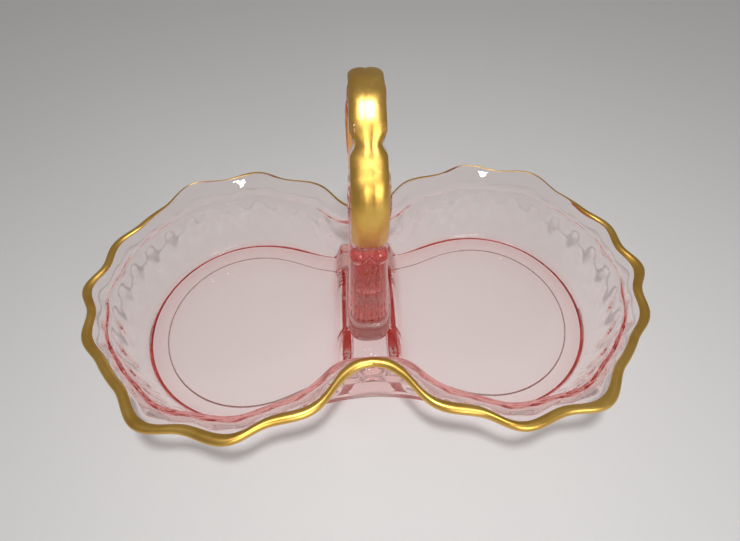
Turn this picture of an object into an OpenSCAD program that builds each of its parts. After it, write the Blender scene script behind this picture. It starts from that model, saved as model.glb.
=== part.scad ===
// Pressed-glass two-part candy dish with a centre handle and gilded edges.
// Origin: middle of the footprint, on the surface it stands on. X runs through both lobes.

/* [Bowl] */
// Distance from the middle to each lobe's centre, at the rim
lobe_x = 53; // [50:0.5:56]
// Mean radius of a lobe at the rim, between its crests and its dips
lobe_r = 65; // [62:0.5:68]
// Width across the pinched waist, at the rim
waist_w = 80; // [72:1:88]
// Height of the gilded rim
rim_h = 41.5; // [36:0.5:48]
// Thickness of the floor
floor_t = 4.5; // [3:0.5:6]
// Height of the foot ring under the floor
foot_h = 1.5; // [1:0.5:3]

/* [Divider] */
// Height of the ridge above the floor
divider_h = 12; // [8:1:18]
// Width of the ridge where it meets the floor
divider_base_w = 33; // [31:1:38]
// Width of the ridge's flat top
divider_top_w = 25; // [22:1:27]
// Thickness of the glass over the hollow under the ridge
divider_t = 5.7; // [4:0.1:7]

/* [Handle] */
// Height of the handle's crest
handle_h = 134.5; // [125:0.5:150]
// Thickness of the handle at its foot
handle_foot_t = 19.8; // [17:0.2:20]
// Thickness of the loop where it leaves the stem
loop_foot_t = 12.6; // [11:0.2:14]
// Thickness of the loop at its crest
loop_crest_t = 10; // [8:0.2:11]
// Height where the fluted stem ends and the loop begins
stem_top = 78; // [70:1:84]

/* [Gilding] */
// Thickness of the fired gold
gold_t = 0.4; // [0.2:0.1:0.6]

/* [Hidden] */

PINK = [0.93, 0.68, 0.68, 0.6];
GOLD = [0.80, 0.62, 0.22];

STEPS = 36;           // points along a quarter of an outline
FLOOR_X = 55.8;       // lobe centre at the floor
floor_z = foot_h + floor_t;

// Crests and dips of the scalloped rim: [angle about the lobe's centre, height over the mean]
SCALLOPS = [[0, 2], [11, -1.9], [21, 0.1], [34, -2.8], [46, -2.8], [62, 3], [76, -0.7],
            [90, 2.1], [104, -1.8], [118, 0.3], [134, -3.1], [180, -3.1]];

function mix(a, b, t) = a + (b - a) * t;
function ease(t) = (1 - cos(180 * t)) / 2;

function scallop(a, i = 0) =
    let (p = SCALLOPS[i], q = SCALLOPS[i + 1])
    a <= q[0] ? mix(p[1], q[1], ease((a - p[0]) / (q[0] - p[0]))) : scallop(a, i + 1);

// A level of the wall is [radius, height, share of the scallops, half width at the waist, sharpness]
function lobe_x_at(level) = mix(FLOOR_X, lobe_x, level[2]);

// Radius of an outline about its lobe's centre: the lobe's round, eased into the straight waist
function outline_r(level, a) =
    let (round_r = level[0] + level[2] * scallop(a), sharp = level[4],
         waist_r = level[3] / sin(max(a, 90)))
    pow(pow(round_r, sharp) + pow(waist_r, sharp) - pow(level[3], sharp), 1 / sharp);

// One quarter of the figure-of-eight outline, from the lobe's end to the middle of the waist
function quarter(level) =
    let (cx = lobe_x_at(level), last = 180 - atan(level[3] / cx))
    [for (k = [0:STEPS]) let (a = last * k / STEPS, r = outline_r(level, a))
        [k == STEPS ? 0 : cx + r * cos(a), k == 0 ? 0 : r * sin(a)]];

function outline(level) =
    let (q = quarter(level))
    concat([for (k = [0:STEPS]) q[k]],
           [for (k = [STEPS - 1:-1:0]) [-q[k][0], q[k][1]]],
           [for (k = [1:STEPS]) [-q[k][0], -q[k][1]]],
           [for (k = [STEPS - 1:-1:1]) [q[k][0], -q[k][1]]]);

function ring(level) = [for (p = outline(level)) [p[0], p[1], level[1]]];

// Solid through a list of equal rings; a closed one joins its last ring to its first
module skin(rings, closed = false) {
    m = len(rings);
    n = len(rings[0]);
    sides = [for (j = [0:m - (closed ? 1 : 2)], i = [0:n - 1], half = [0, 1])
        let (a = j * n + i, b = j * n + (i + 1) % n,
             c = ((j + 1) % m) * n + (i + 1) % n, d = ((j + 1) % m) * n + i)
        half == 0 ? [a, c, b] : [a, d, c]];
    caps = closed ? [] : [[for (i = [0:n - 1]) i], [for (i = [n - 1:-1:0]) (m - 1) * n + i]];
    polyhedron(points = [for (r = rings, p = r) p], faces = concat(sides, caps));
}

// Smooth curve through hand-set points, t running from 0 at the first to len - 1 at the last
function spline(p, t) =
    let (last = len(p) - 1, i = min(floor(t), last - 1), u = t - i,
         a = p[max(i - 1, 0)], b = p[i], c = p[i + 1], d = p[min(i + 2, last)])
    (2 * b + (c - a) * u + (2 * a - 5 * b + 4 * c - d) * u * u
        + (3 * b - a - 3 * c + d) * u * u * u) / 2;

// The glass stands this much inside the gilded sizes
glass_top = rim_h - gold_t;
waist = waist_w / 2 - gold_t;
RIM_R = lobe_r - gold_t;

// The lip flares from a kink in the wall to a fully round edge
EDGE_R = 1.7;
LIP_SLOPE = 38;       // degrees above level
LIP_LENGTH = 8;       // along its inner face
UNDER_LENGTH = 5;     // along its outer face

// A level on the lip: at an angle round its edge from the crest, then down along the face there
function rim_level(angle, down = 0, grow = 0) =
    let (out = sin(angle) * (EDGE_R + grow) - EDGE_R, up = cos(angle) * (EDGE_R + grow) - EDGE_R,
         run = down * cos(LIP_SLOPE), drop = down * sin(LIP_SLOPE), share = down / LIP_LENGTH)
    [RIM_R + out - run, glass_top + up - drop, mix(1, 0.3, share), waist + out - 0.34 * run,
     mix(24, 18, share)];

EDGE_ANGLES = [-LIP_SLOPE, 0, 35, 70, 105, 180 - LIP_SLOPE];
EDGE = [for (angle = EDGE_ANGLES) rim_level(angle)];

// Levels of the wall: up the inside from the floor, over the rim, and down the outside
FLOOR_EDGE = [43, floor_z, 0, waist - 4.6, 6];
INSIDE = [FLOOR_EDGE,
    [46, floor_z + 0.2, 0, waist - 4.4, 7],
    [47.4, floor_z + 1, 0, waist - 4.4, 8],
    [48.4, floor_z + 2.8, 0, waist - 4.5, 9],
    [50.9, floor_z + 10.5, 0, waist - 4.6, 12],
    [53, floor_z + 19, 0.1, waist - 4.6, 14],
    rim_level(-LIP_SLOPE, LIP_LENGTH)];
OUTSIDE = [rim_level(180 - LIP_SLOPE, UNDER_LENGTH),
    [57.6, rim_h - 10.5, 0.25, waist - 1.4, 18],
    [56.4, rim_h - 16, 0.12, waist - 1.2, 16],
    [53.9, foot_h + 13, 0.05, waist - 1, 14],
    [51, foot_h + 5.5, 0, waist - 0.8, 12],
    [49.5, foot_h + 2, 0, waist - 1, 10],
    [48.4, foot_h, 0, waist - 2, 8]];
FOOT_OUT = [47.4, foot_h, 0, waist - 3, 8];
FOOT_IN = [41, foot_h, 0, waist - 10.6, 7];

module bowl_wall() {
    inner_foot = [43, foot_h, 0, waist - 4.6, 6];
    rows = concat([inner_foot], INSIDE, EDGE, OUTSIDE);
    color(PINK) skin([for (row = rows) ring(row)], closed = true);
}

// Section of the divider: flat on top with steep smooth sides, drawn in by inset, sunk 1 mm
RIDGE_STEPS = 10;
RIDGE_RUN = (divider_base_w - divider_top_w) / 2;

module ridge_prism(inset, height, z, half_y) {
    half = divider_base_w / 2 - inset;
    side = [for (k = [0:RIDGE_STEPS])
        [half - RIDGE_RUN * k / RIDGE_STEPS, height * ease(k / RIDGE_STEPS)]];
    other = [for (k = [RIDGE_STEPS:-1:0]) [-side[k][0], side[k][1]]];
    translate([0, half_y, z]) rotate([90, 0, 0]) linear_extrude(2 * half_y)
        polygon(concat([[half, -1]], side, other, [[-half, -1]]));
}

// The underside is pressed up into the divider, so that the glass is about as thick there
module divider_hollow() {
    ridge_prism(divider_t - 0.9, divider_h + floor_t - divider_t, foot_h, 25);
}

module floor_plate() {
    color(PINK) difference() {
        translate([0, 0, foot_h]) linear_extrude(floor_t) polygon(outline(FLOOR_EDGE));
        divider_hollow();
    }
}

module foot_ring() {
    color(PINK) linear_extrude(foot_h) difference() {
        polygon(outline(FOOT_OUT));
        polygon(outline(FOOT_IN));
    }
}

module divider_ridge() {
    color(PINK) difference() {
        intersection() {
            ridge_prism(0, divider_h, floor_z, waist);
            translate([0, 0, floor_z]) linear_extrude(divider_h) polygon(outline(FLOOR_EDGE));
        }
        divider_hollow();
    }
}

// Stem: half widths at each height, [height, half thickness in X, half width in Y]
stem_z0 = floor_z + divider_h;
STEM = [[0, handle_foot_t / 2, 19.2],
        [0.09, handle_foot_t / 2, 19.1],
        [0.17, handle_foot_t / 2 - 0.2, 18.7],
        [0.22, mix(handle_foot_t, loop_foot_t, 0.3) / 2, 17],
        [0.32, mix(handle_foot_t, loop_foot_t, 0.4) / 2, 16.2],
        [0.5, mix(handle_foot_t, loop_foot_t, 0.55) / 2, 15.4],
        [0.7, mix(handle_foot_t, loop_foot_t, 0.7) / 2, 14.8],
        [0.84, mix(handle_foot_t, loop_foot_t, 0.8) / 2, 14.9],
        [0.93, mix(handle_foot_t, loop_foot_t, 0.75) / 2, 16.6],
        [1, loop_foot_t / 2, 15.4]];
STEM_ROWS = 27;
STEM_POINTS = 48;

function stem_ring(t) =
    let (s = spline(STEM, t * (len(STEM) - 1)), z = mix(stem_z0, stem_top, s[0]))
    [for (k = [0:STEM_POINTS - 1]) let (a = 360 * k / STEM_POINTS, c = cos(a), d = sin(a))
        [s[1] * sign(c) * pow(abs(c), 0.55), s[2] * sign(d) * pow(abs(d), 0.55), z]];

module handle_stem() {
    color(PINK) skin([for (k = [STEM_ROWS:-1:0]) stem_ring(k / STEM_ROWS)]);
}

// Loop: half of its outer and inner outlines in the YZ plane, from the bottom to the crest
LOOP_OUT = [[0, 0], [8, 0], [15, 0.4], [18.4, 7], [22, 15], [24.8, 25], [25.2, 32.5], [22.6, 38.8],
            [18.4, 43], [15, 46.2], [13.5, 49.6], [10.7, 54], [5.8, 57.8], [0, 59]];
LOOP_IN = [[0, 10], [3.5, 10.6], [6.6, 12.4], [9.6, 15.2], [12.8, 20.6], [15, 28], [15, 34],
           [12.6, 38.4], [9.6, 40.8], [7.8, 43], [7.2, 45.4], [5.6, 48.2], [3, 50], [0, 50.6]];
LOOP_STEPS = 40;
loop_k = (handle_h - gold_t - stem_top) / 59;

function loop_point(half, t) =
    let (u = t <= 1 ? t : 2 - t, p = spline(half, u * (len(half) - 1)))
    [t <= 1 ? p[0] : -p[0], stem_top + loop_k * p[1]];

// Half thickness of the loop in X at a height above its foot
function loop_half_t(z) = mix(loop_foot_t, loop_crest_t, (z - stem_top) / (handle_h - stem_top)) / 2;

// Section of the loop as [share of the half thickness in X, share of the way from inside to outside]
SECTION = [[-0.55, 0], [0.55, 0], [1, 0.22], [1, 0.78],
           [0.55, 1], [-0.55, 1], [-1, 0.78], [-1, 0.22]];

function loop_ring(t) =
    let (a = loop_point(LOOP_IN, t), b = loop_point(LOOP_OUT, t))
    [for (s = SECTION) let (p = mix(a, b, s[1])) [s[0] * loop_half_t(p[1]), p[0], p[1]]];

module handle_loop() {
    color(PINK) skin([for (k = [0:2 * LOOP_STEPS - 1]) loop_ring(k / LOOP_STEPS)], closed = true);
}

// Curls of the scrolls, standing off both flat faces of the loop: [y, height, radius]
CURLS = [[-19, 35, 3.4], [19, 35, 3.4], [-9.6, 49.6, 3], [9.6, 49.6, 3], [0, 54.6, 3.4]];
CURL_H = 2;

module scroll_curls() {
    color(PINK)
    for (side = [-1, 1], c = CURLS)
        let (z = stem_top + loop_k * c[1])
        translate([side * (loop_half_t(z - c[2]) + 0.02), c[0], z]) rotate([0, side * 90, 0])
            cylinder(h = CURL_H, r1 = c[2], r2 = c[2] * 0.6, $fn = 32);
}

// Gold wrapped over the rounded edge of the lip
module rim_gilding() {
    grown = [for (k = [len(EDGE_ANGLES) - 1:-1:0]) rim_level(EDGE_ANGLES[k], 0, gold_t)];
    color(GOLD) skin([for (row = concat(EDGE, grown)) ring(row)], closed = true);
}

// Gold along the loop's outer edge, from one foot of the loop over the crest to the other
GOLD_START = 0.235;
GOLD_SHARES = [[-1, 0.78], [-0.55, 1], [0.55, 1], [1, 0.78]];

function gold_ring(t) =
    let (a = loop_point(LOOP_IN, t), b = loop_point(LOOP_OUT, t), out = (b - a) / norm(b - a),
         skin_t = [for (s = GOLD_SHARES) let (p = mix(a, b, s[1]))
             [s[0] * loop_half_t(p[1]), p[0], p[1]]])
    concat(skin_t, [for (k = [3:-1:0]) let (p = skin_t[k], side = GOLD_SHARES[k][0])
        [p[0] + (abs(side) == 1 ? side * gold_t : side * gold_t / 2),
         p[1] + out[0] * gold_t, p[2] + out[1] * gold_t]]);

module handle_gilding() {
    stations = [for (k = [0:2 * LOOP_STEPS]) mix(GOLD_START, 2 - GOLD_START, k / (2 * LOOP_STEPS))];
    color(GOLD) skin([for (t = stations) gold_ring(t)]);
}

bowl_wall();
floor_plate();
foot_ring();
divider_ridge();
handle_stem();
handle_loop();
scroll_curls();
rim_gilding();
handle_gilding();
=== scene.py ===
"""Two-part depression-glass candy dish: pink pressed glass, gilded rim and gilded centre handle.

Works in millimetres in the frame's axes and scales to metres when a mesh is made.
"""

import math
from collections import namedtuple

import bmesh
import bpy
from mathutils import Matrix, Vector


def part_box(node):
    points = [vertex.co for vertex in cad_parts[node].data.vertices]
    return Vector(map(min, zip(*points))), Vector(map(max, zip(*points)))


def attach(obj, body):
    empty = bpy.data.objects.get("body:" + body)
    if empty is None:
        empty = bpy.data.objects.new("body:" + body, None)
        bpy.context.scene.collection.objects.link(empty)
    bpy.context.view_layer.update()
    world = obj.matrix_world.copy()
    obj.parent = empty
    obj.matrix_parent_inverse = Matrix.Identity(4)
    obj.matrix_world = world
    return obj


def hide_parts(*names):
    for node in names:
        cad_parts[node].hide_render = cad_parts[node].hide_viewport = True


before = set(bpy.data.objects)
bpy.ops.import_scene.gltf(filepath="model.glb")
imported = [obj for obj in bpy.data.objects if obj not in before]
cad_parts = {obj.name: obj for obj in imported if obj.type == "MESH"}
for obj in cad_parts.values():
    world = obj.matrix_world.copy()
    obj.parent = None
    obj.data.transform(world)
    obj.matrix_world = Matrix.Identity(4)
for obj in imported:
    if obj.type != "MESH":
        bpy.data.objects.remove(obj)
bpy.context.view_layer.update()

MM = 0.001


def mm_box(node):
    """Lowest and highest corners of a CAD node, in millimetres."""
    lo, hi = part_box(node)
    return lo / MM, hi / MM


# ---------------------------------------------------------------- sizes from the frame
floor_lo, floor_hi = mm_box("floor_plate")
ridge_lo, ridge_hi = mm_box("divider_ridge")
_, rim_hi = mm_box("rim_gilding")
stem_lo, stem_hi = mm_box("handle_stem")
loop_lo, loop_hi = mm_box("handle_loop")

FOOT_Z = floor_lo.z  # underside of the floor, held up by the foot ring
FLOOR_Z = floor_hi.z  # inside of both wells
RIM_Z = rim_hi.z
GOLD_T = 0.4  # thickness of the gold in the frame
FLOOR_R = 43.0  # radius of a well's flat floor
FLOOR_X = floor_hi.x - FLOOR_R  # where a well's centre is, at the floor
CREST = 2.0  # how far a lobe's end crest stands out from the mean radius
RIM_R = 65.0  # mean radius of a lobe at the rim, over the gold
RIM_X = rim_hi.x - RIM_R - CREST  # where a lobe's centre is, at the rim
WAIST = 40.0  # half the width of the waist at the rim


# ---------------------------------------------------------------- curves and meshes
def mix(a, b, t):
    return a + (b - a) * t


def ease(t):
    t = min(max(t, 0.0), 1.0)
    return (1 - math.cos(math.pi * t)) / 2


def bump(t, centre, half_width):
    """A smooth hump, 1 at the centre and 0 beyond the half width."""
    return ease(1 - abs(t - centre) / half_width)


def spline(points, t):
    """Catmull-Rom curve through equal-length tuples; t runs from 0 to len(points) - 1."""
    last = len(points) - 1
    i = min(max(int(math.floor(t)), 0), last - 1)
    u = t - i
    a, b = points[max(i - 1, 0)], points[i]
    c, d = points[i + 1], points[min(i + 2, last)]
    return tuple(
        (2 * q + (r - p) * u + (2 * p - 5 * q + 4 * r - s) * u**2 + (3 * q - p - 3 * r + s) * u**3) / 2
        for p, q, r, s in zip(a, b, c, d)
    )


def make_mesh(name, points, faces):
    """A smooth-shaded object from points in millimetres."""
    mesh = bpy.data.meshes.new(name)
    mesh.from_pydata([(x * MM, y * MM, z * MM) for x, y, z in points], [], faces)
    bm = bmesh.new()
    bm.from_mesh(mesh)
    bmesh.ops.recalc_face_normals(bm, faces=bm.faces)
    bm.to_mesh(mesh)
    bm.free()
    mesh.shade_smooth()
    piece = bpy.data.objects.new(name, mesh)
    bpy.context.scene.collection.objects.link(piece)
    return piece


def skin(name, rings, closed=False, tips=False):
    """A solid through equal rings. Closed joins the last to the first; tips ends both in a point."""
    count, around = len(rings), len(rings[0])
    points = [p for ring in rings for p in ring]
    faces = []
    for j in range(count if closed else count - 1):
        k = (j + 1) % count
        for i in range(around):
            n = (i + 1) % around
            faces.append((j * around + i, j * around + n, k * around + n, k * around + i))
    if tips:
        for start in (0, (count - 1) * around):
            ring = points[start : start + around]
            middle = tuple(sum(p[k] for p in ring) / around for k in range(3))
            points.append(middle)
            tip = len(points) - 1
            faces += [(tip, start + i, start + (i + 1) % around) for i in range(around)]
    elif not closed:
        faces.append(tuple(range(around)))
        faces.append(tuple((count - 1) * around + i for i in range(around)))
    return make_mesh(name, points, faces)


# ---------------------------------------------------------------- plan of the dish
# Crests and dips of the rim: angle about the lobe's centre, height over the mean radius
SCALLOPS = (
    (0, CREST),
    (11, -1.9),
    (21, 0.1),
    (34, -2.8),
    (46, -2.8),
    (62, 3.0),
    (76, -0.7),
    (90, 2.1),
    (104, -1.8),
    (118, 0.3),
    (134, -3.1),
    (180, -3.1),
)

# One outline of the dish: radius of its lobes, height, share of the scallops, half width of
# its waist, and how sharply the lobes turn into the waist
Level = namedtuple("Level", "radius z scallop waist sharp")


def scallop(angle):
    for (a, low), (b, high) in zip(SCALLOPS, SCALLOPS[1:]):
        if angle <= b:
            return mix(low, high, ease((angle - a) / (b - a)))
    return SCALLOPS[-1][1]


def outline_radius(level, angle, scallop_now):
    round_r = level.radius + level.scallop * scallop_now
    waist_r = level.waist / math.sin(math.radians(max(angle, 90)))
    total = round_r**level.sharp + waist_r**level.sharp - level.waist**level.sharp
    return total ** (1 / level.sharp)


QUARTER = 150  # points along a quarter of an outline
QUARTER_SHARES = [1 - (1 - k / QUARTER) ** 1.25 for k in range(QUARTER + 1)]


def quarter(level, relief=None):
    """From the lobe's end to the middle of the waist, with relief(angle) added to the radius."""
    centre = mix(FLOOR_X, RIM_X, level.scallop)
    last = 180 - math.degrees(math.atan(level.waist / centre))
    rim_last = 180 - math.degrees(math.atan(WAIST / RIM_X))
    points = []
    for share in QUARTER_SHARES:
        angle = last * share
        r = outline_radius(level, angle, scallop(rim_last * share))
        if relief:
            r += relief(rim_last * share)
        x = centre + r * math.cos(math.radians(angle))
        y = r * math.sin(math.radians(angle))
        points.append((x if share < 1 else 0.0, y if share > 0 else 0.0))
    return points


def outline(level, relief=None):
    """The whole figure of eight at one level, as points in space."""
    q = quarter(level, relief)
    flat = q + [(-x, y) for x, y in q[-2::-1]]
    flat += [(-x, -y) for x, y in q[1:]] + [(x, -y) for x, y in q[-2:0:-1]]
    return [(x, y, level.z) for x, y in flat]


def between(levels, steps):
    """Levels along a smooth curve through the given ones, steps to a span."""
    count = (len(levels) - 1) * steps
    return [Level(*spline(levels, k / steps)) for k in range(count + 1)]


# ---------------------------------------------------------------- section of the wall
GLASS_TOP = RIM_Z - GOLD_T
GLASS_R = RIM_R - GOLD_T
GLASS_WAIST = WAIST - GOLD_T

EDGE_R = 1.7  # the lip is twice this thick, with a fully round edge
LIP_SLOPE = 38.0  # degrees above level
LIP_LENGTH = 8.0  # along its inner face, from the kink to the round of the edge
LIP_SCALLOP = 0.3  # share of the scallops left at the kink
LIP_WAIST = 0.34  # how far the waist draws in along the lip, next to the lobes


def rim_level(s, grow=0.0):
    """A level on the lip, s round its section from the crest: inside is negative, outside positive."""
    angle = min(max(math.degrees(s / EDGE_R), -LIP_SLOPE), 180 - LIP_SLOPE)
    a, slope = math.radians(angle), math.radians(LIP_SLOPE)
    down = abs(s - a * EDGE_R)
    sunk = EDGE_R - math.sin(a) * (EDGE_R + grow)
    up = math.cos(a) * (EDGE_R + grow) - down * math.sin(slope)
    share = down / LIP_LENGTH
    return Level(
        GLASS_R - sunk - down * math.cos(slope),
        GLASS_TOP - EDGE_R + up,
        mix(1, LIP_SCALLOP, share),
        GLASS_WAIST - sunk - down * math.cos(slope) * LIP_WAIST,
        mix(24, 18, share),
    )


EDGE_IN, EDGE_OUT = -math.radians(LIP_SLOPE) * EDGE_R, math.radians(180 - LIP_SLOPE) * EDGE_R
KINK = rim_level(EDGE_IN - LIP_LENGTH)

# Up the inside of the wall, from the floor to just below the kink
INSIDE = (
    Level(FLOOR_R, FLOOR_Z, 0, 35.0, 6),
    Level(45.8, FLOOR_Z + 0.15, 0, 35.2, 7),
    Level(47.2, FLOOR_Z + 0.9, 0, 35.2, 8),
    Level(48.4, FLOOR_Z + 2.8, 0, 35.1, 9),
    Level(50.9, FLOOR_Z + 10.5, 0, 35.0, 12),
    Level(53.0, FLOOR_Z + 19, 0.1, 35.0, 14),
    Level(KINK.radius - 1.2, KINK.z - 1.2, KINK.scallop, KINK.waist - 0.6, KINK.sharp),
)
# The small step at the kink, where the wall meets the lip
LEDGE = (
    Level(KINK.radius - 1.1, KINK.z - 0.55, KINK.scallop, KINK.waist - 0.6, KINK.sharp),
    Level(KINK.radius - 0.95, KINK.z - 0.2, KINK.scallop, KINK.waist - 0.5, KINK.sharp),
    Level(KINK.radius - 0.5, KINK.z - 0.06, KINK.scallop, KINK.waist - 0.25, KINK.sharp),
)
# Down the outside, from under the lip to the steep heel that guides light into the floor
OUTSIDE = (
    rim_level(EDGE_OUT + LIP_LENGTH - 3.0),
    Level(57.6, RIM_Z - 10.5, 0.25, GLASS_WAIST - 1.4, 18),
    Level(56.4, RIM_Z - 16, 0.12, GLASS_WAIST - 1.2, 16),
    Level(53.9, FOOT_Z + 13, 0.05, GLASS_WAIST - 1.0, 14),
    Level(51.0, FOOT_Z + 6.5, 0, GLASS_WAIST - 0.8, 12),
    Level(49.9, FOOT_Z + 3.6, 0, GLASS_WAIST - 1.0, 11),
    Level(49.3, FOOT_Z + 1.7, 0, GLASS_WAIST - 1.3, 10),
    Level(48.9, FOOT_Z + 0.4, 0, GLASS_WAIST - 1.6, 9),
)
# Round and under the foot ring, to the underside of the floor
FOOT = (
    Level(48.65, FOOT_Z - 0.5, 0, GLASS_WAIST - 1.8, 8),
    Level(48.4, 0.3, 0, GLASS_WAIST - 2.0, 8),
    Level(47.9, 0.06, 0, GLASS_WAIST - 2.6, 8),
    Level(47.0, 0.03, 0, GLASS_WAIST - 3.6, 8),
    Level(41.4, 0.03, 0, 30.0, 7),
    Level(40.7, 0.3, 0, 29.3, 7),
    Level(40.2, FOOT_Z, 0, 28.8, 7),
)

OPTIC_PITCH = 12.0  # degrees from one pressed dimple to the next, about a lobe
OPTIC_ROW = 9.5  # height from one row of dimples to the next
OPTIC_DEPTH = 0.5


def optic(z, side=1):
    """Relief of the pressed optic at a height: staggered rows of soft dimples. Side is -1 outside."""
    fade = bump(z, mix(FLOOR_Z, RIM_Z, 0.5), 0.45 * (RIM_Z - FLOOR_Z)) ** 0.5
    row = math.cos(math.pi * (z - FLOOR_Z) / OPTIC_ROW)

    def relief(angle):
        return side * fade * OPTIC_DEPTH * row * math.cos(2 * math.pi * angle / OPTIC_PITCH)

    return relief


RIDGE_RUN = 5.2  # how far each side of the divider slopes, from the floor to the top


def ridge_height(x, inset=0.0):
    """Height of the divider over the floor, across the waist; inset draws its two sides in."""
    return (ridge_hi.z - ridge_lo.z) * ease((ridge_hi.x - inset - abs(x)) / RIDGE_RUN)


def soft_max(a, b, blend=1.6):
    """The larger of two heights, eased together where they are within the blend."""
    h = max(blend - abs(a - b), 0) / blend
    return max(a, b) + h * h * blend / 4


def with_ridge(ring):
    """Inner surface lifted onto the divider."""
    lifted = []
    for x, y, z in ring:
        over_ridge = abs(x) < ridge_hi.x
        lifted.append((x, y, soft_max(z, FLOOR_Z + ridge_height(x)) if over_ridge else z))
    return lifted


HOLLOW_INSET = 4.2  # thickness of glass left in each side of the divider
HOLLOW_RISE = 0.85  # height of the hollow under the divider, as a share of the divider's
HOLLOW_END = 0.2  # share of the underside over which the hollow runs out


def with_hollow(ring, share):
    """Underside pressed up into the divider, so that it is not much thicker than the floor."""
    rise = ease((1 - share) / HOLLOW_END) * HOLLOW_RISE
    return [(x, y, z + rise * ridge_height(x, HOLLOW_INSET)) for x, y, z in ring]


def scaled(ring, share):
    return [(x * share, y * share, z) for x, y, z in ring]


def floor_shares():
    """How far out each ring of the floor lies, closest together over the divider."""
    outer = [1 - 0.06 * k for k in range(1, 13)]
    inner = [0.27 - 0.0054 * k for k in range(48)]
    return [0.995, 0.985, 0.97] + outer + inner


def make_body():
    """Wall, floor, divider and foot as the single pressing that they are."""
    edge = outline(INSIDE[0])
    rings = [with_ridge(scaled(edge, s)) for s in reversed(floor_shares())]
    for level in between(INSIDE, 8):
        rings.append(with_ridge(outline(level, optic(level.z))))
    rings += [outline(level) for level in LEDGE]
    lip = [EDGE_IN - LIP_LENGTH * (1 - k / 9) for k in range(9)]
    edge_round = [mix(EDGE_IN, EDGE_OUT, k / 18) for k in range(19)]
    under_lip = [EDGE_OUT + (LIP_LENGTH - 3.0) * k / 5 for k in range(1, 5)]
    rings += [outline(rim_level(s)) for s in lip + edge_round + under_lip]
    for level in between(OUTSIDE, 6):
        rings.append(outline(level, optic(level.z, -1)))
    rings += [outline(level) for level in between(FOOT, 3)]
    rings += [with_hollow(scaled(outline(FOOT[-1]), s), s) for s in floor_shares()]
    return skin("glass_body", rings, tips=True)


def gold_edges(x, y):
    """Where the gold starts and ends round the lip: brushed on by hand, widest at the two ends."""
    end = ease((abs(x) - 60) / 50) * (1 - ease((y + 5) / 60))
    back = ease((y + 12) / 60) * (1 - end)
    wander = 0.25 * math.sin(x / 7) + 0.2 * math.sin(x / 23 + y / 11)
    start = mix(mix(-1.6, 0.2, back), -3.0, end) + wander
    stop = mix(mix(5.6, 2.4, back), 4.4, end) + wander
    return start, stop


GOLD_OVER, GOLD_UNDER = 0.22, 0.15  # how far the rim's gold stands over and into the glass
NET_STEP = 0.25  # spacing round the lip of the outlines that the gold is drawn between
NET_FIRST, NET_LAST = -4.0, 6.5


def net_point(nets, i, s):
    """Point i of the outline at s round the lip."""
    place = (s - NET_FIRST) / NET_STEP
    low = int(place)
    return tuple(mix(p, q, place - low) for p, q in zip(nets[low][i], nets[low + 1][i]))


def make_rim_gold():
    """Fired gold wrapped over the edge of the lip, sunk a hair into the glass."""
    places = [NET_FIRST + NET_STEP * k for k in range(int((NET_LAST - NET_FIRST) / NET_STEP) + 1)]
    over = [outline(rim_level(s, GOLD_OVER)) for s in places]
    sunk = [outline(rim_level(s, -GOLD_UNDER)) for s in places]
    edges = [gold_edges(x, y) for x, y, z in outline(rim_level(0))]
    rings, steps = [], 16
    for k in range(steps + 1):
        rings.append([net_point(over, i, mix(*edges[i], k / steps)) for i in range(len(edges))])
    for k in range(steps, -1, -2):
        rings.append([net_point(sunk, i, mix(*edges[i], k / steps)) for i in range(len(edges))])
    return skin("rim_gold", rings, closed=True)


# ---------------------------------------------------------------- handle
# Half of the loop's outer and inner outlines in the YZ plane, over the top of the stem
LOOP_OUT = (
    (0, 0),
    (8, 0),
    (15, 0.8),
    (18.4, 7),
    (22, 15),
    (24.8, 25),
    (25.2, 32.5),
    (22.9, 38.8),
    (19.2, 43),
    (16.1, 46.3),
    (13.9, 49.8),
    (10.7, 54),
    (5.8, 57.8),
    (0, 59),
)
LOOP_IN = (
    (0, 10),
    (3.5, 10.6),
    (6.6, 12.4),
    (9.6, 15.2),
    (12.8, 20.6),
    (15, 28),
    (15, 34),
    (12.6, 38.4),
    (9.6, 40.8),
    (7.8, 43),
    (7.2, 45.4),
    (5.6, 48.2),
    (3, 50),
    (0, 50.6),
)
LOOP_K = (loop_hi.z - loop_lo.z) / LOOP_OUT[-1][1]  # from those outlines to the frame's height
PINCH_Z = loop_lo.z + 48.4 * LOOP_K
PINCH_DEPTH = 0.3  # share of the loop's thickness that the pinch takes away
PINCH_REACH = 3.2  # above and below the pinch's middle
LOOP_HALF_LOW, LOOP_HALF_HIGH = 6.3, 5.0  # half the loop's thickness at its foot and its crest


def loop_half(z):
    """Half the loop's thickness at a height; the pinch between its two lobes is narrower."""
    plain = mix(LOOP_HALF_LOW, LOOP_HALF_HIGH, (z - loop_lo.z) / (loop_hi.z - loop_lo.z))
    return plain * (1 - PINCH_DEPTH * bump(z, PINCH_Z, PINCH_REACH))


def loop_point(half, t):
    """A point of an outline as (y, z); t runs from 0 at the bottom over the crest, 1, to 2."""
    y, z = spline(half, (t if t <= 1 else 2 - t) * (len(half) - 1))
    return (y if t <= 1 else -y), loop_lo.z + LOOP_K * z


def section_point(t, angle, grow=0.0, round_off=3.2):
    """A point of the loop's rounded section; angle 90 faces out and 270 faces the finger hole."""
    inner, outer = Vector(loop_point(LOOP_IN, t)), Vector(loop_point(LOOP_OUT, t))
    out = (outer - inner).normalized()
    middle, half_depth = (inner + outer) / 2, (outer - inner).length / 2 + grow
    half = loop_half(outer.y) + grow
    c, s = math.cos(math.radians(angle)), math.sin(math.radians(angle))
    x = half * math.copysign(abs(c) ** (2 / round_off), c)
    p = middle + out * half_depth * math.copysign(abs(s) ** (2 / round_off), s)
    return (x, p.x, p.y)


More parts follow.
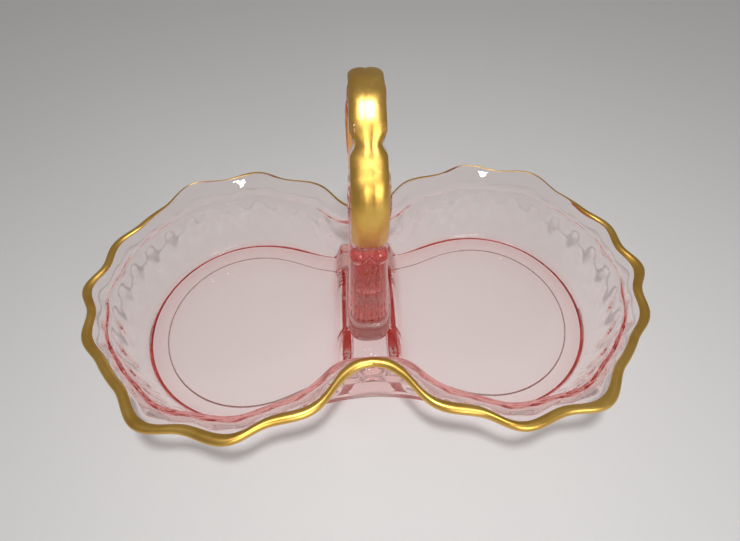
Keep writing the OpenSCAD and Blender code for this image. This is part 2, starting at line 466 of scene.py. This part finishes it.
def make_loop_tube():
    steps, around = 160, 40
    rings = []
    for k in range(2 * steps):
        rings.append([section_point(k / steps, 360 * i / around) for i in range(around)])
    return skin("loop_tube", rings, closed=True)


# Stem: share of its height, half thickness in X, half width in Y, depth of its reeds
STEM = (
    (0.0, 9.5, 18.6, 0.0),
    (0.03, 9.9, 19.2, 0.0),
    (0.1, 10.0, 19.3, 0.0),
    (0.17, 9.8, 18.9, 0.0),
    (0.2, 9.3, 18.0, 0.0),
    (0.215, 8.8, 16.9, 0.3),
    (0.25, 8.8, 16.7, 0.9),
    (0.5, 8.1, 15.6, 1.0),
    (0.74, 7.4, 14.8, 1.0),
    (0.84, 6.9, 14.0, 0.6),
    (0.88, 6.4, 13.0, 0.0),
    (0.96, 6.0, 12.6, 0.0),
    (1.06, 5.2, 12.0, 0.0),
)
REEDS = 5.5  # across each end of the stem
REED_DEPTH = 0.045
STEM_SINK = 0.3  # how far the stem's foot is sunk into the divider


def stem_ring(t, around=240):
    share, half_x, half_y, depth = spline(STEM, t * (len(STEM) - 1))
    z = mix(stem_lo.z - STEM_SINK, stem_hi.z, share)
    ring = []
    for i in range(around):
        a = 2 * math.pi * i / around
        c, s = math.cos(a), math.sin(a)
        across = math.copysign(abs(c) ** 0.6, c)
        groove = 1 - abs(math.cos(math.pi * (REEDS / 2) * (across + 1)))
        y_scale = 1 - depth * REED_DEPTH * groove**2
        ring.append((half_x * across, half_y * y_scale * math.copysign(abs(s) ** 0.6, s), z))
    return ring


def make_stem():
    rows = 150
    return skin("stem_core", [stem_ring(k / rows) for k in range(rows + 1)], tips=True)


def make_ellipsoid(name, centre, radii, turn=0.0):
    """A closed egg shape, turned about X, used as a lump to be blended into the handle."""
    rows, around = 20, 28
    rings = []
    for j in range(1, rows):
        u = math.pi * j / rows
        ring = []
        for i in range(around):
            a = 2 * math.pi * i / around
            p = Vector((math.cos(u), math.sin(u) * math.cos(a), math.sin(u) * math.sin(a)))
            p = Vector((p.x * radii[0], p.y * radii[1], p.z * radii[2]))
            p.rotate(Matrix.Rotation(turn, 3, "X"))
            ring.append(tuple(p + Vector(centre)))
        rings.append(ring)
    return skin(name, rings, tips=True)


def make_cord(name, path, radius):
    """A round rib along points, tapering to its ends."""
    around, rings = 12, []
    for j, p in enumerate(path):
        ahead = Vector(path[min(j + 1, len(path) - 1)]) - Vector(path[max(j - 1, 0)])
        ahead.normalize()
        side = ahead.cross(Vector((1, 0, 0))).normalized()
        r = radius * (0.35 + 0.65 * math.sin(math.pi * (j + 0.5) / len(path)) ** 0.5)
        ring = []
        for i in range(around):
            a = 2 * math.pi * i / around
            ring.append(tuple(Vector(p) + side * r * math.cos(a) + Vector((1, 0, 0)) * r * math.sin(a)))
        rings.append(ring)
    return skin(name, rings, tips=True)


def curl_path(centre, start, turns, size, x, steps=26):
    """A flat spiral in the YZ plane that closes on its centre."""
    path = []
    for k in range(steps + 1):
        u = k / steps
        a = math.radians(start + 360 * turns * u)
        r = size * (1 - 0.78 * u)
        path.append((x, centre[0] + r * math.cos(a), centre[1] + r * math.sin(a)))
    return path


# Curls of the scrolls: y and height as the loop is drawn, angle they start from, way they turn
CURLS = ((18.6, 35, 40, -1), (9.4, 50, -60, 1))
CURL_TURNS = 1.35
CURL_SIZE = 3.4
BULB_AT = (3.4, 13.2, -3.6)  # from the middle of the top of the stem
BULB_RADII = (3.5, 3.8, 4.0)
SHELL_RAYS = 5


def handle_lumps():
    """Bulbs under the loop, scroll curls on its flat faces and the shell at its crest."""
    lumps = []
    for end in (-1, 1):
        for side in (-1, 1):
            bulb_at = (side * BULB_AT[0], end * BULB_AT[1], stem_hi.z + BULB_AT[2])
            lumps.append(make_ellipsoid("bulb", bulb_at, BULB_RADII))
            for y, z, start, spin in CURLS:
                height = loop_lo.z + LOOP_K * z
                x = side * (loop_half(height) - 0.45)
                path = curl_path((y, height), start, spin * CURL_TURNS, CURL_SIZE, x)
                path = [(px, end * py, pz) for px, py, pz in path]
                lumps.append(make_cord("curl", path, 1.0))
                lumps.append(make_ellipsoid("curl_eye", (x, end * y, height), (1.2, 1.2, 1.2)))
            rib = []
            for k in range(40):
                t = mix(0.3, 0.56, k / 39)
                inner, outer = Vector(loop_point(LOOP_IN, t)), Vector(loop_point(LOOP_OUT, t))
                p = inner.lerp(outer, 0.42)
                rib.append((side * (loop_half(p.y) - 0.1), end * p.x, p.y))
            lumps.append(make_cord("rib", rib, 1.0))
    for side in (-1, 1):
        z = loop_hi.z - 5.2
        for k in range(SHELL_RAYS):
            lean = math.radians(-50 + 25 * k)
            centre = (side * (loop_half(z) - 0.65), 2.6 * math.sin(lean), z - 1.6 + 2.6 * math.cos(lean))
            lumps.append(make_ellipsoid("shell", centre, (1.0, 0.95, 2.7), lean))
    return lumps


def join_and_blend(name, parts, voxel, smooth):
    """Joins overlapping closed parts into one skin with small natural fillets."""
    bm = bmesh.new()
    for part in parts:
        bm.from_mesh(part.data)
        bpy.data.objects.remove(part)
    mesh = bpy.data.meshes.new(name)
    bm.to_mesh(mesh)
    bm.free()
    piece = bpy.data.objects.new(name, mesh)
    bpy.context.scene.collection.objects.link(piece)
    remesh = piece.modifiers.new("blend", "REMESH")
    remesh.mode = "VOXEL"
    remesh.voxel_size = voxel * MM
    relax = piece.modifiers.new("relax", "SMOOTH")
    relax.factor, relax.iterations = 0.5, smooth
    bpy.context.view_layer.update()
    depsgraph = bpy.context.evaluated_depsgraph_get()
    done = bpy.data.meshes.new_from_object(piece.evaluated_get(depsgraph))
    piece.modifiers.clear()
    piece.data = done
    done.shade_smooth()
    return piece


def make_handle():
    parts = [make_stem(), make_loop_tube()] + handle_lumps()
    return join_and_blend("glass_handle", parts, voxel=0.42, smooth=3)


GOLD_START = 0.235  # where the gold begins, as a share of the way up the loop
GOLD_RAISED, GOLD_SUNK = 0.4, 0.3  # over the glass, less a hair, and into it
SEAM_DEPTH = 0.25


def make_handle_gold():
    """Fired gold over the loop's outer edge, with the mould seam sunk along its middle."""
    steps, across = 300, 36
    rings = []
    for k in range(steps + 1):
        t = mix(GOLD_START, 2 - GOLD_START, k / steps)
        fade = min(k, steps - k) / 8
        thick = GOLD_RAISED * min(fade, 1.0) - 0.05
        outer, inner = [], []
        for i in range(across + 1):
            angle = mix(24, 156, i / across)
            seam = SEAM_DEPTH * bump(i, across / 2, 1.0)
            edge = min(i, across - i) / 2
            outer.append(section_point(t, angle, thick * min(edge + 0.3, 1.0) - seam))
            inner.append(section_point(t, angle, -GOLD_SUNK))
        rings.append(outer + inner[::-1])
    return skin("handle_gold", rings)


# ---------------------------------------------------------------- materials
class Nodes:
    """Short calls for building a node material."""

    def __init__(self, name):
        self.material = bpy.data.materials.new(name)
        self.material.use_nodes = True
        self.tree = self.material.node_tree
        self.shader = self.tree.nodes["Principled BSDF"]
        self.output = self.tree.nodes["Material Output"]

    def add(self, kind, **values):
        node = self.tree.nodes.new(kind)
        for key, value in values.items():
            if key in node.inputs:
                node.inputs[key].default_value = value
            else:
                setattr(node, key, value)
        return node

    def link(self, source, target):
        self.tree.links.new(source, target)

    def noise(self, scale, detail=3.0, roughness=0.5):
        """Noise over the object's own coordinates; scale is in cells to a metre."""
        node = self.add("ShaderNodeTexNoise", Scale=scale, Detail=detail, Roughness=roughness)
        self.link(self.coordinates(), node.inputs["Vector"])
        return node.outputs["Fac"]

    def coordinates(self):
        return self.add("ShaderNodeTexCoord").outputs["Object"]

    def ramp(self, source, *stops):
        node = self.add("ShaderNodeValToRGB")
        self.link(source, node.inputs["Fac"])
        elements = node.color_ramp.elements
        while len(elements) < len(stops):
            elements.new(0.5)
        for element, (place, colour) in zip(elements, stops):
            element.position = place
            element.color = (*colour, 1)
        return node.outputs["Color"]

    def bump(self, height, strength, distance, normal=None):
        node = self.add("ShaderNodeBump", Strength=strength, Distance=distance)
        self.link(height, node.inputs["Height"])
        if normal:
            self.link(normal, node.inputs["Normal"])
        return node.outputs["Normal"]

    def set(self, **values):
        for key, value in values.items():
            self.shader.inputs[key.replace("_", " ")].default_value = value


def pink_glass():
    """Fire-polished pressed glass, coloured through its depth."""
    nodes = Nodes("pink_glass")
    nodes.set(Base_Color=(1, 0.985, 0.98, 1), Roughness=0.0, IOR=1.5, Transmission_Weight=1.0)
    polish = nodes.noise(260, detail=2)
    nodes.link(nodes.bump(polish, 0.12, 0.0006), nodes.shader.inputs["Normal"])
    depth = nodes.add("ShaderNodeVolumeAbsorption", Color=(0.93, 0.22, 0.16, 1), Density=24.0)
    nodes.link(depth.outputs["Volume"], nodes.output.inputs["Volume"])
    return nodes.material


def fired_gold():
    """Bright fired gold: brush streaks and a little tarnish."""
    nodes = Nodes("fired_gold")
    nodes.set(Metallic=1.0)
    tone = nodes.noise(90, detail=5)
    colour = nodes.ramp(tone, (0.3, (0.62, 0.36, 0.07)), (0.7, (0.82, 0.53, 0.14)))
    nodes.link(colour, nodes.shader.inputs["Base Color"])
    grain = nodes.noise(700, detail=4)
    gloss = nodes.ramp(grain, (0.3, (0.3, 0.3, 0.3)), (0.75, (0.4, 0.4, 0.4)))
    nodes.link(gloss, nodes.shader.inputs["Roughness"])
    nodes.link(nodes.bump(grain, 0.06, 0.0002), nodes.shader.inputs["Normal"])
    return nodes.material


def pale_floor():
    nodes = Nodes("pale_floor")
    nodes.set(Roughness=0.85, Base_Color=(0.72, 0.72, 0.725, 1))
    return nodes.material


# ---------------------------------------------------------------- stage
CAMERA_AT = Vector((-4.3, -111.8, 206.1))
CAMERA_PITCH, CAMERA_YAW, CAMERA_ROLL = 55.13, 2.69, -0.05
CAMERA_LENS = 22.85


def make_camera():
    """Camera where the photographer's was: close, and looking well down into the dish."""
    data = bpy.data.cameras.new("camera")
    data.lens, data.sensor_width = CAMERA_LENS, 36
    data.clip_start, data.clip_end = 0.005, 50
    camera = bpy.data.objects.new("camera", data)
    bpy.context.scene.collection.objects.link(camera)
    turn = Matrix.Rotation(math.radians(-CAMERA_YAW), 4, "Z")
    turn @= Matrix.Rotation(math.radians(90 - CAMERA_PITCH), 4, "X")
    turn @= Matrix.Rotation(math.radians(CAMERA_ROLL), 4, "Z")
    camera.matrix_world = Matrix.Translation(CAMERA_AT * MM) @ turn
    bpy.context.scene.camera = camera


def make_light(name, at, target, size, power, colour):
    data = bpy.data.lights.new(name, "AREA")
    data.shape, data.size = "DISK", size * MM
    data.energy, data.color = power, colour
    light = bpy.data.objects.new(name, data)
    light.location = Vector(at) * MM
    light.rotation_euler = (Vector(target) - Vector(at)).to_track_quat("-Z", "Y").to_euler()
    bpy.context.scene.collection.objects.link(light)
    return light


def make_stage():
    half = 2000
    floor = make_mesh(
        "floor",
        [(-half, -half, -0.1), (half, -half, -0.1), (half, half, -0.1), (-half, half, -0.1)],
        [(0, 1, 2, 3)],
    )
    floor.data.materials.append(pale_floor())
    # Neither light is seen through the glass, and the glass casts no shadow. Light focused by
    # the glass is not rendered, so the table is lit as if the glass were not there
    key = make_light("key", (0, -100, 330), (0, 0, 20), 32, 0.52, (1, 1, 1))
    key.visible_transmission = False
    fill = make_light("fill", (250, -750, 430), (0, 0, 0), 500, 3.2, (1, 0.99, 0.98))
    fill.visible_transmission = False
    world = bpy.data.worlds.new("room")
    world.use_nodes = True
    world.node_tree.nodes["Background"].inputs["Color"].default_value = (1.0, 0.96, 0.93, 1)
    world.node_tree.nodes["Background"].inputs["Strength"].default_value = 0.3
    world.cycles.sampling_method = "NONE"
    bpy.context.scene.world = world


# ---------------------------------------------------------------- assembly
def dress(piece, material, slot, *cad_nodes):
    piece.data.materials.clear()
    piece.data.materials.append(material)
    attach(piece, "root")
    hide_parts(*cad_nodes)


make_camera()
make_stage()

glass, gold = pink_glass(), fired_gold()
body, handle = make_body(), make_handle()
for piece in (body, handle):
    piece.visible_shadow = False
dress(body, glass, "pink_glass", "bowl_wall", "floor_plate", "foot_ring", "divider_ridge")
dress(handle, glass, "pink_glass", "handle_stem", "handle_loop", "scroll_curls")
dress(make_rim_gold(), gold, "gold", "rim_gilding")
dress(make_handle_gold(), gold, "gold", "handle_gilding")

# Light is guided a long way along the floor plate, and turns black if it is cut off too soon
cycles = bpy.context.scene.cycles
cycles.max_bounces = 80
cycles.transmission_bounces = 40
cycles.glossy_bounces = 64
cycles.blur_glossy = 0
cycles.sample_clamp_indirect = 20
bpy.context.scene.view_settings.view_transform = "Standard"
